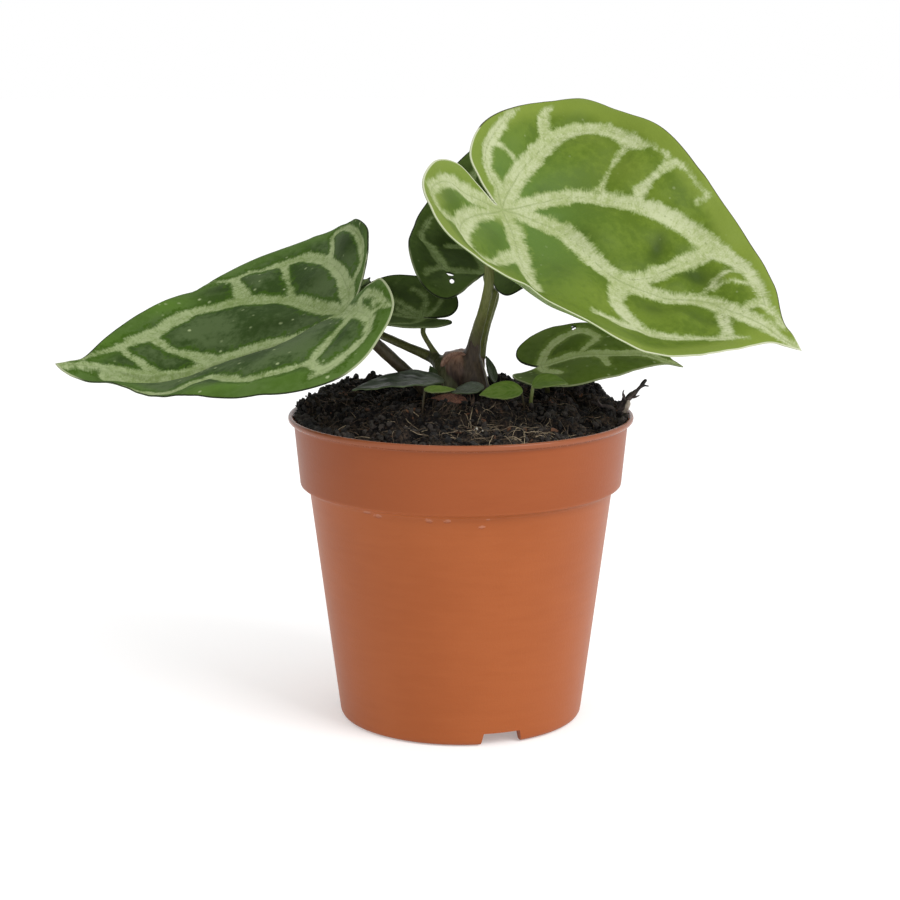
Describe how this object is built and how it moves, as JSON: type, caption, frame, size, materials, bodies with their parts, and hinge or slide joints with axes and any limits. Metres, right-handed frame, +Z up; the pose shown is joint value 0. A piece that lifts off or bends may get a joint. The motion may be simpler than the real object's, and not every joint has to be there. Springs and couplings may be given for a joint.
{
  "type": "potted anthurium",
  "caption": "Potted foliage anthurium with large heart-shaped pale-veined leaves on curved stalks, standing in a banded nursery pot filled with peat",
  "frame": {"origin": "centre of the flat boss under the pot, in the plane that the pot stands on", "axes": "+Z up along the pot's axis, +X to the right and -Y towards the viewer in the reference view; the longest extent, across the leaves, lies along X"},
  "size_m": [0.2534, 0.1373, 0.2136],
  "materials": {
    "pot": "satin terracotta-coloured moulded plastic",
    "soil": "dark crumbly fibrous peat",
    "crown": "smooth swollen plant base, pinkish brown",
    "bright_blade": "soft satin leaf, yellow-green with silvery veins",
    "dark_blade": "soft satin leaf, dark green with silvery veins",
    "stalk": "smooth olive to brown leaf stalk",
    "young_blade": "glossy young leaf",
    "bract": "papery reddish bract",
    "root": "dry brown root"
  },
  "bodies": {
    "root": {"pot": "pot", "soil": "soil", "crown": "crown", "blade_upper_right": "bright_blade", "blade_left": "dark_blade", "blade_back": "dark_blade", "blade_middle_left": "dark_blade", "blade_lower_right": "bright_blade", "blade_behind_left": "dark_blade", "stalk_upper_right": "stalk", "stalk_left": "stalk", "stalk_back": "stalk", "stalk_middle_left": "stalk", "stalk_lower_right": "stalk", "stalk_behind_left": "stalk", "young_leaf_left": "young_blade", "young_leaf_front_left": "young_blade", "young_leaf_front_grey": "young_blade", "young_leaf_front": "young_blade", "young_leaf_front_right": "young_blade", "young_leaf_crown_left": "young_blade", "young_leaf_crown_right": "young_blade", "bract_front": "bract", "root_at_rim": "root"}
  },
  "joints": []
}
